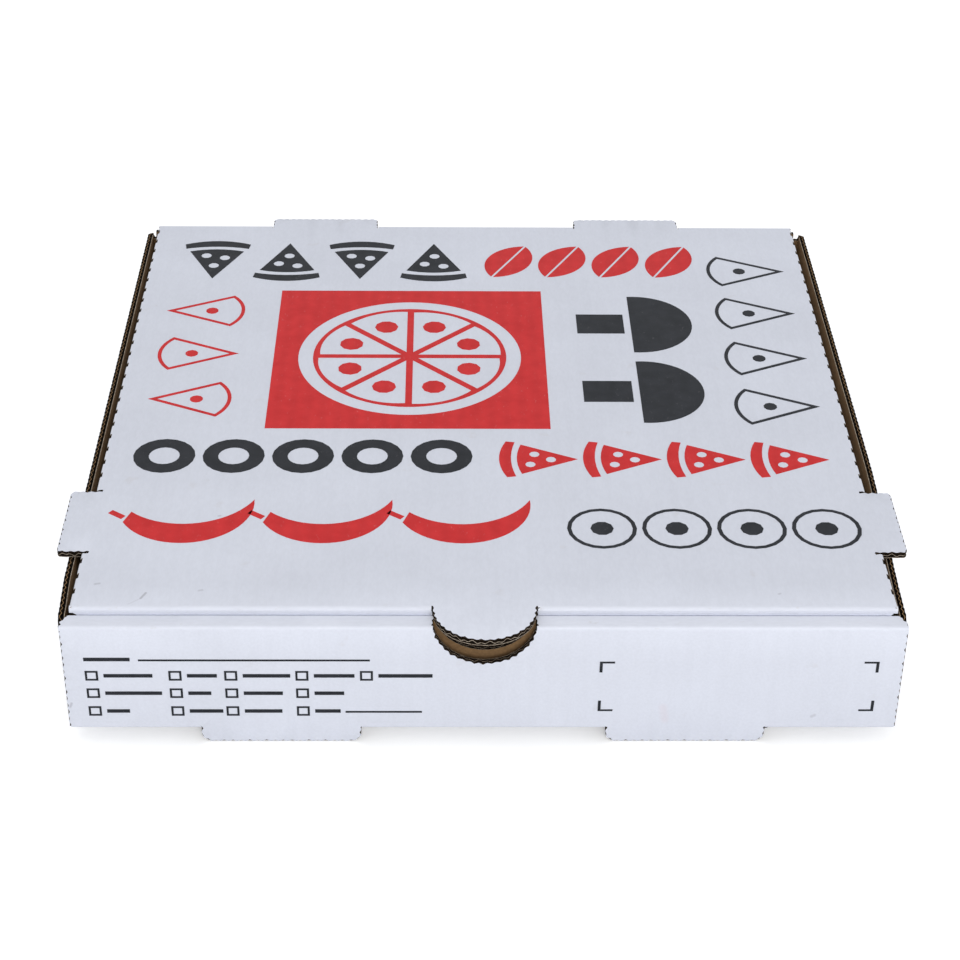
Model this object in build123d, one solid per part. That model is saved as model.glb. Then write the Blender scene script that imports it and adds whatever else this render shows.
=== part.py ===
from build123d import *
import os
from math import cos, hypot, pi, sin, sqrt

# A one-piece corrugated pizza box with a hinged lid, shut, in millimetres.
# X runs across the box, +Y from the front to the back, +Z up.
# The origin is the centre of the bottom panel's underside.

# Board and inside space
board = 2.5
inside_width = 304.8
inside_depth = 304.8
inside_height = 44.6

# Play between neighbouring layers and between tray and lid
layer_gap = 0.15
lid_rest_gap = 0.3
lid_side_gap = 0.4
lid_front_gap = 0.35
tab_play = 0.4
slot_play = 0.5

# Rounding of the folds, on the white outer face
fold_radius = 1.8
bottom_fold_radius = 0.8
crease_radius = 1.2
corner_fold_radius = 2.4

# Side walls lean out behind the front corners, where nothing holds them
left_front_lean = 1.2
left_lean = 2.3
left_lean_length = 30.0
right_front_lean = 0.3
right_lean = 3.4
right_lean_length = 110.0

# Rolled front wall
band_end_inset = 3.0
band_end_straight = 1.0
inner_wall_play = 0.6
notch_radius = 19.05
notch_centre_from_crease = 2.85
lock_tab_play = 1.2
front_tab_width = 60.0
front_tab_centre = 75.8
front_tab_length = 6.4
front_tab_corner = 4.2

# Corner tabs of the side walls
corner_tab_length = 44.0
corner_tab_lift = 0.3
rear_corner_tab_drop = 2.0

# Back wall
back_wall_inset = 1.3

# Lid
moon_radius = 19.05
front_flap_length = 38.0
front_flap_tilt = 4.5
front_flap_inset = 3.5
front_flap_shoulder = 7.0
front_flap_taper = 8.0
side_flap_length = 35.0
side_flap_front_inset = 7.5
side_flap_rear_inset = 8.0
side_flap_taper = 6.0
side_tab_width = 41.0
side_tab_length = 9.7
side_tab_from_front = 43.6
side_tab_corner = 2.0
slit_length = 2.3
slit_width = 0.9
rear_tab_width = 50.0
rear_tab_centre = 72.2
rear_tab_length = 6.8
rear_tab_corner = 2.5

# Print: a film of ink, its field and its motifs
ink_film = 0.1
ink_line = 1.6
ring_sides = 20
topping_sides = 10
field_size = 118.0
field_x = -30.0
field_y = 33.0

# Print on the front wall: an order form with bars for its words, and a label frame
form_left = -147.1
form_indent = 20.0
heading_length = 17.0
form_line = 0.8
tick_box_width = 4.8
tick_box_height = 4.5
tick_columns = (0.0, 30.7, 51.2, 77.4)
tick_rows = (8.2, 16.7, 24.9)
word_bar_height = 1.6
word_lengths = (
    (8.5, 12.5, 14.0, 9.5),
    (21.0, 8.5, 14.5, 11.0),
    (18.0, 11.0, 17.5, 15.0),
)
last_tick = 101.2
last_word = 20.0
write_in_start = 95.5
write_in_length = 28.5
name_line_height = 31.7
name_line_length = 85.0
frame_left = 42.5
frame_width = 103.3
frame_bottom = 8.2
frame_height = 23.4
frame_arm = 5.6
frame_rise = 5.0
frame_post = 1.1

# Sizes that follow
half_width = inside_width / 2 + board
band_depth = 3 * board + 2 * layer_gap
outer_depth = inside_depth + band_depth + board
front = -outer_depth / 2
back = outer_depth / 2
wall_top = board + inside_height
lid_bottom = wall_top + lid_rest_gap
lid_top = lid_bottom + board
lid_half = inside_width / 2 - lid_side_gap
lid_front = front + band_depth + lid_front_gap
side_front = front + board + layer_gap
side_back = back - board - layer_gap
band_half = half_width - band_end_inset
half_moon_clearance = 0.3


def block(x0, x1, y0, y1, z0, z1):
    """Box between two corners."""
    centre = Pos((x0 + x1) / 2, (y0 + y1) / 2, (z0 + z1) / 2)
    return centre * Box(abs(x1 - x0), abs(y1 - y0), abs(z1 - z0))


def both_sides(solid):
    """A solid and its mirror image across the middle of the box."""
    return solid + mirror(solid, about=Plane.YZ)


def across(profile, x0, x1):
    """Prism along X of a closed outline drawn in (y, z)."""
    wire = Wire(profile)
    return Pos(x0, 0, 0) * extrude(Face(wire), amount=x1 - x0, dir=(1, 0, 0))


def outline(points, x=0.0):
    """Edges of a closed outline through (y, z) points; a point of four numbers adds an arc's middle."""
    edges = []
    for here, after in zip(points, points[1:] + points[:1]):
        a = (x, here[0], here[1])
        b = (x, after[0], after[1])
        if len(after) == 4:
            edges.append(Edge.make_three_point_arc(a, (x, after[2], after[3]), b))
        else:
            edges.append(Edge.make_line(a, b))
    return edges


# Bottom panel
def bottom_panel():
    panel = block(-half_width, half_width, front, back, 0, board)
    panel = fillet(panel.edges().group_by(Axis.Z)[0], bottom_fold_radius)
    slot = block(
        front_tab_centre - front_tab_width / 2,
        front_tab_centre + front_tab_width / 2,
        front - 1,
        front + band_depth + slot_play,
        -1,
        board + 1,
    )
    return panel - both_sides(slot)


# Front wall: up, over the top and down inside
def band_outline(grow):
    """Plan of the flat band; its ends slant in behind the front corners."""
    knee = front + board + band_end_straight
    rear = front + band_depth + grow
    right = [(half_width + grow, front - grow), (half_width + grow, knee), (band_half + grow, rear)]
    left = [(-x, y) for x, y in reversed(right)]
    return Face(Wire.make_polygon([(x, y, 0) for x, y in right + left]))


def rolled_front():
    inner_half = inside_width / 2 - inner_wall_play
    inner_front = front + band_depth - board
    outer = block(-half_width, half_width, front, front + board, board, wall_top)
    band = Pos(0, 0, wall_top - board) * extrude(band_outline(0), amount=board, dir=(0, 0, 1))
    inner = block(
        -inner_half, inner_half, inner_front, front + band_depth, board + corner_tab_lift, wall_top
    )
    roll = outer + band + inner
    top_creases = roll.edges().filter_by(Axis.X).group_by(Axis.Z)[-1]
    roll = fillet(top_creases, crease_radius)
    for hole in notch_holes():
        roll = roll - hole
    return roll + lock_tabs(inner_front)


def notch_holes():
    """The finger notch: one circle in the flat sheet, bent over the two creases of the band."""
    on_band = notch_centre_from_crease
    past_band = band_depth - notch_centre_from_crease
    through = Cylinder(notch_radius, 2 * board + layer_gap)
    middle = block(-2 * notch_radius, 2 * notch_radius, front - 1, front + band_depth - board / 2, 0, lid_top)
    return [
        Pos(0, front, wall_top + on_band) * Rot(90, 0, 0) * through,
        Pos(0, front + on_band, wall_top) * through & middle,
        Pos(0, front + band_depth, wall_top + past_band) * Rot(90, 0, 0) * through,
    ]


def lock_tabs(inner_front):
    """Tabs of the inner wall that drop into the slots of the bottom."""
    reach = front_tab_width / 2 - lock_tab_play
    tab = block(
        front_tab_centre - reach,
        front_tab_centre + reach,
        inner_front,
        front + band_depth,
        0,
        board + 2,
    )
    return both_sides(tab)


def front_tabs():
    """Tabs that stay in the plane of the front wall and stand down below the bottom fold."""
    tab = block(
        front_tab_centre - front_tab_width / 2,
        front_tab_centre + front_tab_width / 2,
        front,
        front + board,
        -front_tab_length,
        board,
    )
    low_corners = tab.edges().filter_by(Axis.Y).group_by(Axis.Z)[0]
    return both_sides(fillet(low_corners, front_tab_corner))


# Side walls with their corner tabs, one bent strip each
def strip_plan(front_lean, lean, lean_length, height):
    """Plan of the right strip at one height: front tab, side wall, rear tab."""
    corner = corner_fold_radius
    inner = corner - board if corner > board else 0.1
    near = half_width + front_lean
    rear = half_width + lean
    knee = side_front + corner + lean_length

    def up(x, y):
        return (x, y, height)

    def turn(x, y, radius, side):
        """Rounded corner of the fold; side is -1 at the front and 1 at the back."""
        middle = radius * (1 - sqrt(0.5))
        run_in = up(x - radius, y)
        run_out = up(x, y - side * radius)
        through = up(x - middle, y - side * middle)
        return run_in, through, run_out

    f_in, f_mid, f_out = turn(near, side_front, corner, -1)
    r_in, r_mid, r_out = turn(rear, side_back, corner, 1)
    fi_in, fi_mid, fi_out = turn(near - board, side_front + board, inner, -1)
    ri_in, ri_mid, ri_out = turn(rear - board, side_back - board, inner, 1)
    front_end = near - corner_tab_length
    rear_end = rear - corner_tab_length
    straight = [(0, 1, 0), (0, 1, 0)]
    edges = [
        Edge.make_line(up(front_end, side_front), f_in),
        Edge.make_three_point_arc(f_in, f_mid, f_out),
        Edge.make_spline([f_out, up(rear, knee)], tangents=straight),
        Edge.make_line(up(rear, knee), r_out),
        Edge.make_three_point_arc(r_out, r_mid, r_in),
        Edge.make_line(r_in, up(rear_end, side_back)),
        Edge.make_line(up(rear_end, side_back), up(rear_end, side_back - board)),
        Edge.make_line(up(rear_end, side_back - board), ri_in),
        Edge.make_three_point_arc(ri_in, ri_mid, ri_out),
        Edge.make_line(ri_out, up(rear - board, knee)),
        Edge.make_spline([fi_out, up(rear - board, knee)], tangents=straight),
        Edge.make_three_point_arc(fi_out, fi_mid, fi_in),
        Edge.make_line(fi_in, up(front_end, side_front + board)),
        Edge.make_line(up(front_end, side_front + board), up(front_end, side_front)),
    ]
    return Face(Wire(edges))


def side_wall(front_lean, lean, lean_length):
    upright = strip_plan(0.0, 0.0, lean_length, board)
    leaning = strip_plan(front_lean, lean, lean_length, wall_top)
    strip = loft([upright, leaning], ruled=True)
    band_room = Pos(0, 0, wall_top - board - layer_gap) * extrude(
        band_outline(layer_gap), amount=2 * board, dir=(0, 0, 1)
    )
    strip = strip - band_room
    inside = half_width - board
    tab_end = half_width - corner_tab_length - board
    lift = board + corner_tab_lift
    rear_tab_top = wall_top - rear_corner_tab_drop
    strip = strip - block(tab_end, inside, side_front - 1, side_front + board + 1, board - 1, lift)
    strip = strip - block(tab_end, inside, side_back - board - 1, side_back + 1, board - 1, lift)
    return strip - block(tab_end, inside, side_back - board - 1, back, rear_tab_top, wall_top + 1)


# Back wall, cut at its top to meet the lid on the slant of the fold
def hinge_fold(angle):
    """Point (y, z) on the rounded hinge fold, from 0 on the back wall to pi / 2 on the lid."""
    y = back - fold_radius + fold_radius * cos(angle)
    z = lid_top - fold_radius + fold_radius * sin(angle)
    return y, z


def back_wall():
    end = pi / 4 - layer_gap / fold_radius
    points = [
        (back - board, board),
        (back, board),
        (back, lid_top - fold_radius),
        hinge_fold(end) + hinge_fold(end / 2),
        (back - board, lid_bottom - 1.5 * layer_gap),
    ]
    half = half_width - back_wall_inset
    wall = across(outline(points), -half, half)
    swing = hypot(rear_tab_length, board) + tab_play
    notch = block(
        rear_tab_centre - rear_tab_width / 2 - tab_play,
        rear_tab_centre + rear_tab_width / 2 + tab_play,
        back - board - 1,
        back + 1,
        lid_top - swing,
        lid_top + 1,
    )
    return wall - both_sides(notch)


def tray():
    right = side_wall(right_front_lean, right_lean, right_lean_length)
    left = mirror(side_wall(left_front_lean, left_lean, left_lean_length), about=Plane.YZ)
    return bottom_panel() + rolled_front() + front_tabs() + right + left + back_wall()


# Lid
def lid_panel():
    bend = fold_radius * (1 - sqrt(0.5))
    end = pi / 4 + layer_gap / fold_radius
    points = [
        (lid_front, lid_bottom),
        (lid_front, lid_top - fold_radius),
        (lid_front + fold_radius, lid_top, lid_front + bend, lid_top - bend),
        (back - fold_radius, lid_top),
        hinge_fold(end) + hinge_fold((end + pi / 2) / 2),
        (back - board - 1.5 * layer_gap, lid_bottom),
    ]
    panel = across(outline(points), -lid_half, lid_half)
    return fillet(panel.edges().filter_by(Axis.Y).group_by(Axis.Z)[-1], crease_radius / 2)


def front_flap():
    """Tuck flap behind the front wall; it tilts in, so that it swings clear."""
    top = lid_half - lid_side_gap
    half = lid_half - front_flap_inset
    low = half - front_flap_taper
    right = [(top, 0), (half, -front_flap_shoulder), (low, -front_flap_length)]
    plan = [(x, 0, z) for x, z in right] + [(-x, 0, z) for x, z in reversed(right)]
    flap = extrude(Face(Wire.make_polygon(plan)), amount=board, dir=(0, 1, 0))
    hole = Rot(90, 0, 0) * Cylinder(moon_radius + half_moon_clearance, 4 * board)
    flap = flap - hole
    head = block(-lid_half, lid_half, -1, board + 1, -crease_radius, 1)
    flap = Rot(front_flap_tilt, 0, 0) * (flap - head)
    return Pos(0, lid_front, lid_top) * flap


def side_flap():
    """Tuck flap inside the right side wall, with the gap that the side tab was cut from."""
    y0 = lid_front + side_flap_front_inset
    y1 = back - side_flap_rear_inset
    low = lid_bottom - side_flap_length
    top = lid_bottom + board / 4
    points = [(y0, top), (y1, top), (y1 - side_flap_taper, low), (y0 + side_flap_taper, low)]
    flap = across(outline(points), lid_half - board, lid_half)
    tab_front = front + side_tab_from_front
    gap = block(
        lid_half - board - 1,
        lid_half + 1,
        tab_front,
        tab_front + side_tab_width,
        lid_top - side_tab_length,
        lid_bottom,
    )
    return flap - gap


def side_tab():
    tab_front = front + side_tab_from_front
    tab = block(
        lid_half - slit_length,
        lid_half + side_tab_length,
        tab_front,
        tab_front + side_tab_width,
        lid_bottom,
        lid_top,
    )
    return fillet(tab.edges().filter_by(Axis.Z).group_by(Axis.X)[-1], side_tab_corner)


def side_slits():
    """Two short cuts that free the side tab's root from the fold."""
    tab_front = front + side_tab_from_front
    cuts = []
    for start in (tab_front - slit_width, tab_front + side_tab_width):
        cuts.append(
            block(
                lid_half - slit_length,
                lid_half + 1,
                start,
                start + slit_width,
                lid_bottom - board / 2,
                lid_top + 1,
            )
        )
    return cuts[0] + cuts[1]


def rear_tab():
    tab = block(
        rear_tab_centre - rear_tab_width / 2,
        rear_tab_centre + rear_tab_width / 2,
        back - 2 * board,
        back + rear_tab_length,
        lid_bottom,
        lid_top,
    )
    return fillet(tab.edges().filter_by(Axis.Z).group_by(Axis.Y)[-1], rear_tab_corner)


def thumb_moon():
    return Pos(0, lid_front, (lid_bottom + lid_top) / 2) * Cylinder(moon_radius, board)


def lid():
    body = lid_panel() + thumb_moon() + front_flap()
    body = body + both_sides(side_flap()) - both_sides(side_slits())
    return body + both_sides(side_tab()) + both_sides(rear_tab())


# Motifs of the lid's print, each drawn about its middle for a given size
def face_of(edges):
    return Face(Wire(edges))


def arc(a, middle, b):
    return Edge.make_three_point_arc((*a, 0), (*middle, 0), (*b, 0))


def line(a, b):
    return Edge.make_line((*a, 0), (*b, 0))


def disc(radius, x=0.0, y=0.0):
    return Pos(x, y) * Circle(radius)


def topping(radius, x=0.0, y=0.0):
    return Pos(x, y) * RegularPolygon(radius, topping_sides)


def ring(outer, inner):
    return RegularPolygon(outer, ring_sides) - RegularPolygon(inner, ring_sides)


def slice_motif(size):
    """Pizza slice: a wedge with three round toppings left bare, under a curved crust."""
    tip, left, right = (0, -0.5 * size), (-0.36 * size, 0.26 * size), (0.36 * size, 0.26 * size)
    wedge = face_of([line(tip, right), arc(right, (0, 0.32 * size), left), line(left, tip)])
    for x, y in ((-0.13, 0.14), (0.12, 0.08), (-0.01, -0.14)):
        wedge = wedge - topping(0.07 * size, x * size, y * size)
    low = (-0.42 * size, 0.34 * size), (0.42 * size, 0.34 * size)
    high = (-0.44 * size, 0.46 * size), (0.44 * size, 0.46 * size)
    crust = face_of(
        [
            arc(low[0], (0, 0.4 * size), low[1]),
            line(low[1], high[1]),
            arc(high[1], (0, 0.56 * size), high[0]),
            line(high[0], low[0]),
        ]
    )
    return [wedge, crust]


def slice_line_motif(size):
    """The same slice in outline."""
    tip, left, right = (0, -0.5 * size), (-0.4 * size, 0.34 * size), (0.4 * size, 0.34 * size)
    wedge = face_of([line(tip, right), arc(right, (0, 0.5 * size), left), line(left, tip)])
    return [wedge - offset(wedge, amount=-ink_line), topping(0.08 * size, 0, 0.08 * size)]


def leaf_motif(size):
    """Basil leaf in two halves beside its bare rib."""
    half = size / 2
    rib = ink_line / 3
    upper = face_of([line((-half, rib), (half, rib)), arc((half, rib), (0, 0.3 * size), (-half, rib))])
    lower = face_of([line((half, -rib), (-half, -rib)), arc((-half, -rib), (0, -0.3 * size), (half, -rib))])
    return [upper, lower]


def ring_motif(size):
    return [ring(size / 2, size / 4)]


def ring_line_motif(size):
    return [ring(size / 2, size / 2 - ink_line), topping(size / 6)]


def mushroom_motif(size):
    """Cut mushroom: a domed cap over a short stem."""
    half = size / 2
    cap = face_of([line((-half, 0), (half, 0)), arc((half, 0), (0, 0.55 * size), (-half, 0))])
    stem = Pos(0, -0.27 * size) * Rectangle(0.34 * size, 0.42 * size)
    return [cap, stem]


def pepper_motif(size):
    """Curved chilli pepper with a short stalk."""
    half = size / 2
    body = face_of(
        [
            arc((-half, 0.14 * size), (0.05 * size, -0.24 * size), (half, 0.2 * size)),
            arc((half, 0.2 * size), (-0.02 * size, 0.0), (-0.42 * size, 0.26 * size)),
            line((-0.42 * size, 0.26 * size), (-half, 0.14 * size)),
        ]
    )
    stalk = Pos(-0.53 * size, 0.25 * size) * Rot(0, 0, -50) * Rectangle(0.13 * size, 0.05 * size)
    return [body, stalk]


# Rows of motifs on the lid: motif, colour, first and last middle (x, y), pitch, size, turn, turn step
motif_rows = (
    (slice_motif, "charcoal", (-122.0, 121.0), (-20.0, 121.0), 34.0, 35.0, 0.0, 180.0),
    (leaf_motif, "red", (15.0, 121.0), (90.0, 121.0), 25.0, 34.0, 62.0, 0.0),
    (slice_line_motif, "charcoal", (125.0, 112.0), (125.0, -8.0), 40.0, 36.0, 90.0, 0.0),
    (slice_line_motif, "red", (-122.0, 73.0), (-122.0, -3.0), 38.0, 35.0, -90.0, 180.0),
    (mushroom_motif, "charcoal", (68.0, 62.0), (68.0, 4.0), 58.0, 50.0, -90.0, 0.0),
    (ring_motif, "charcoal", (-128.0, -47.0), (-16.0, -47.0), 28.0, 25.0, 0.0, 0.0),
    (pepper_motif, "red", (-112.0, -95.0), (-4.0, -95.0), 54.0, 52.0, 14.0, 0.0),
    (slice_motif, "red", (24.0, -49.0), (126.0, -49.0), 34.0, 30.0, 90.0, 0.0),
    (ring_line_motif, "charcoal", (46.0, -98.0), (133.0, -98.0), 29.0, 27.0, 0.0, 0.0),
)


def printed(faces, x, y, turn):
    """Films of ink on the lid for the faces of one motif."""
    place = Pos(x, y, lid_top) * Rot(0, 0, turn)
    return [place * extrude(face, amount=ink_film, dir=(0, 0, 1)) for face in faces]


def pizza_field():
    """Red square with a whole pizza left bare in it, cut in eight, and red toppings."""
    field = Rectangle(field_size, field_size)
    crust = field_size * 0.41
    field = field - (disc(crust) - disc(crust - 4 * ink_line))
    sector = crust - 5.5 * ink_line
    toppings = []
    for turn in range(0, 360, 45):
        tip, end = (2.2 * ink_line, 0.9 * ink_line), pi / 4
        a, b = (sector, 0.9 * ink_line), (sector * cos(end) + 0.6, sector * sin(end) - 0.9 * ink_line)
        bow = (sector * cos(end / 2) + 0.6, sector * sin(end / 2))
        wedge = face_of([line(tip, a), arc(a, bow, b), line(b, tip)])
        field = field - Rot(0, 0, turn) * wedge
        toppings.append(Rot(0, 0, turn + 22.5) * topping(sector * 0.13, sector * 0.7))
    return [field] + toppings


def lid_print(colour):
    films = printed(pizza_field(), field_x, field_y, 0.0) if colour == "red" else []
    for motif, ink, first, last, pitch, size, turn, turn_step in motif_rows:
        if ink != colour:
            continue
        across_row, along_row = last[0] - first[0], last[1] - first[1]
        steps = round(hypot(across_row, along_row) / pitch)
        for n in range(steps + 1):
            x = first[0] + across_row * n / steps
            y = first[1] + along_row * n / steps
            films += printed(motif(size), x, y, turn + n * turn_step)
    return Compound(children=[solid for film in films for solid in film.solids()])


# Print on the front wall
def bar(x, z, length, height):
    return block(x, x + length, front - ink_film, front, z, z + height)


def tick_box(x, z):
    inner_width = tick_box_width - 2 * form_line
    inner_height = tick_box_height - 2 * form_line
    bare = block(
        x + form_line,
        x + form_line + inner_width,
        front - 1,
        front + 1,
        z + form_line,
        z + form_line + inner_height,
    )
    return bar(x, z, tick_box_width, tick_box_height) - bare


def frame_corner(x, z, right, up):
    """Two arms of the label frame that meet at one corner."""
    flat = bar(x if right > 0 else x - frame_arm, z if up > 0 else z - form_line, frame_arm, form_line)
    tall = bar(x if right > 0 else x - frame_post, z if up > 0 else z - frame_rise, frame_post, frame_rise)
    return flat + tall


def front_print():
    films = [bar(form_left + form_indent, name_line_height, name_line_length, form_line)]
    films.append(bar(form_left, name_line_height, heading_length, word_bar_height))
    films.append(bar(form_left + write_in_start, tick_rows[0] - form_line, write_in_length, form_line))
    entries = [(last_tick, tick_rows[-1], last_word)]
    for z, lengths in zip(tick_rows, word_lengths):
        entries += [(column, z, length) for column, length in zip(tick_columns, lengths)]
    for column, z, length in entries:
        x = form_left + column
        films.append(tick_box(x, z - tick_box_height / 2))
        films.append(bar(x + tick_box_width + 2, z - word_bar_height / 2, length, word_bar_height))
    top = frame_bottom + frame_height
    right = frame_left + frame_width
    films.append(frame_corner(frame_left, frame_bottom, 1, 1))
    films.append(frame_corner(right, frame_bottom, -1, 1))
    films.append(frame_corner(frame_left, top, 1, -1))
    films.append(frame_corner(right, top, -1, -1))
    return Compound(children=[solid for film in films for solid in film.solids()])


nodes = {
    "tray": tray(),
    "lid": lid(),
    "lid_print_red": lid_print("red"),
    "lid_print_charcoal": lid_print("charcoal"),
    "front_print": front_print(),
}
os.makedirs("parts", exist_ok=True)
for name, shape in nodes.items():
    export_step(shape, "parts/" + name + ".step")
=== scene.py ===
from math import atan2, ceil, cos, hypot, pi, radians, sin, sqrt

import bmesh
import bpy
from mathutils import Matrix, Vector
from mathutils.geometry import delaunay_2d_cdt


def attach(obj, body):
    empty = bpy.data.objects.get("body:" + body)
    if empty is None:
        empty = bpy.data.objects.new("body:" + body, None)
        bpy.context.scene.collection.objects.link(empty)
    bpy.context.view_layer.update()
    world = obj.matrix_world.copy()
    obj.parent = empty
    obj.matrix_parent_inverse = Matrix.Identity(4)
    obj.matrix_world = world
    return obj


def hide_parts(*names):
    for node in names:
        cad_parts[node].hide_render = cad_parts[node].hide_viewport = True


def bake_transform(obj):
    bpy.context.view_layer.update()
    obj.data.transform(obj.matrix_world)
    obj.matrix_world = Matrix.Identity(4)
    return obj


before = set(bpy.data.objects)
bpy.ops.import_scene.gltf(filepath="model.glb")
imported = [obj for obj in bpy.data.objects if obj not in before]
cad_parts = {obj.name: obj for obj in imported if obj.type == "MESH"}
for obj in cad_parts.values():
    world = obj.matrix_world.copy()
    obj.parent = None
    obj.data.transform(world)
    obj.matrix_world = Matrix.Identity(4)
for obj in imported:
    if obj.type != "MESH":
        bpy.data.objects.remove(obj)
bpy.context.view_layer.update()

# Sizes in millimetres, as in the part
BOARD = 2.5
HALF_WIDTH = 154.9
FRONT = -157.55
BACK = 157.55
WALL_TOP = 47.1
LID_BOTTOM = 47.4
LID_TOP = 49.9
LID_HALF = 152.0
LID_FRONT = -149.4
CIRCLE = 19.05

# Outer radii of the folds
FOLD = 1.8
FRONT_FOLD = 1.5
LOW_FOLD = 0.8
CREASE = 1.2
REAR_CREASE = 0.6
CORNER = 2.4
SIDE_FOLD = 0.9

# Front: tabs below the fold, rolled band, inner wall with its lock tabs and their slots
TAB_LEFT = 45.8
TAB_RIGHT = 105.8
TAB_DROP = 6.4
TAB_CORNER = 4.2
NOTCH_CENTRE = 2.85
BAND_DEPTH = 7.8
BAND_SLANT = 3.5
BAND_END_INSET = 2.15
BAND_FOLD_INSET = 2.7
BAND_GAP = 0.15
INNER_HALF = 151.8
LOCK_TAB = (47.0, 104.6)
SLOT_GAP = 0.5
BOTTOM_GAP = 0.3

# Side walls and their corner tabs; a lean is given at the front, in full, and the length between them
SIDE_FRONT = -154.9
SIDE_BACK = 154.9
CORNER_TAB = 44.0
REAR_TAB_LOWERED = 2.0
BEND_LENGTH = 3.2
BEND_INSET = 2.6
BEND_RADIUS = 0.1
LEANS = {-1: (1.2, 2.3, 30.0), 1: (0.3, 3.4, 110.0)}

# Back wall, its notches for the rear tabs, and the hinge
BACK_HALF = 153.6
BACK_TOP = 47.2
REAR_NOTCH = (46.8, 97.6)
REAR_NOTCH_DEPTH = 7.65
HINGE_EDGE = BACK - BOARD - 0.2
HINGE_TAIL = 0.9

# Tabs and tuck flaps of the lid
SIDE_TAB = (-113.95, -72.95)
SIDE_TAB_REACH = 161.7
SIDE_TAB_CORNER = 2
SIDE_TAB_ROOT = 2.3
SLIT = 0.9
REAR_TAB = (47.2, 97.2)
REAR_TAB_REACH = 164.35
REAR_TAB_CORNER = 2.5
MOON_GAP = 0.3
FRONT_FLAP_INSET = 3.5
FRONT_FLAP_TAPER = 8.0
FRONT_FLAP_SHOULDER = 7.0
FRONT_FLAP_LENGTH = 38.0
FRONT_FLAP_TILT = radians(4.5)
SIDE_FLAP_FRONT = 7.5
SIDE_FLAP_BACK = 8.0
SIDE_FLAP_TAPER = 6
SIDE_FLAP_LENGTH = 35.0
SIDE_FLAP_GAP = 9.7

# Paper layers, flutes and the teeth of the cutting die
LINER = 0.26
MEDIUM = 0.26
FLUTE_PITCH = 6.4
TOOTH_PITCH = 3.175
TOOTH_DEPTH = 0.85
INNER_TOOTH_DEPTH = 0.15
CORE_INSET = 2.4
CORE_SPACING = 0.86
FLUTE_WAVE = 0.42
TOOTH_CRUSH = 0.38
CUT_STEP = TOOTH_PITCH / 6
FOLD_STEP = 3.0
GRID = 14.0
GRID_SHIFT = (0.37, 0.41)
CELL = 2
SHARP_ANGLE = radians(32)
NICK_PITCH = 9.6
NICK_LENGTH = 3.2

# CORE_SHADE is the near-black painted shade of the hollows inside the board.
# CREASE_AND_HIGHLIGHT paints folds paler: partly pressed paper, partly painted highlight.
WHITE, KRAFT, EDGE, CORE_SHADE, CREASE_AND_HIGHLIGHT = range(5)

# Handling marks: from, to and width in millimetres, strength and tint
GREY_MARK = (0.24, 0.23, 0.26)
RED_MARK = (0.62, 0.40, 0.42)
MARKS = (
    ((-130.6, -147.0, 49.9), (-126.6, -143.6, 49.9), 0.45, 0.16, GREY_MARK),
    ((-126.4, -143.4, 49.9), (-124.9, -140.1, 49.9), 0.7, 0.50, GREY_MARK),
    ((-144.2, -134.6, 49.9), (-142.8, -134.2, 49.9), 0.8, 0.35, GREY_MARK),
    ((-105.4, -138.6, 49.9), (-104.4, -138.3, 49.9), 0.8, 0.30, GREY_MARK),
    ((109.1, -140.4, 49.9), (109.6, -140.1, 49.9), 0.7, 0.30, GREY_MARK),
    ((-102.4, -89.9, 49.9), (-101.8, -89.7, 49.9), 0.7, 0.35, GREY_MARK),
    ((66.9, -157.55, 10.1), (67.9, -157.55, 4.0), 2.2, 0.12, RED_MARK),
    ((123.0, -157.55, 5.6), (124.0, -157.55, 6.2), 0.9, 0.30, GREY_MARK),
    ((-153.8, -157.55, 10.2), (-153.2, -157.55, 11.8), 0.7, 0.40, GREY_MARK),
)


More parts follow.
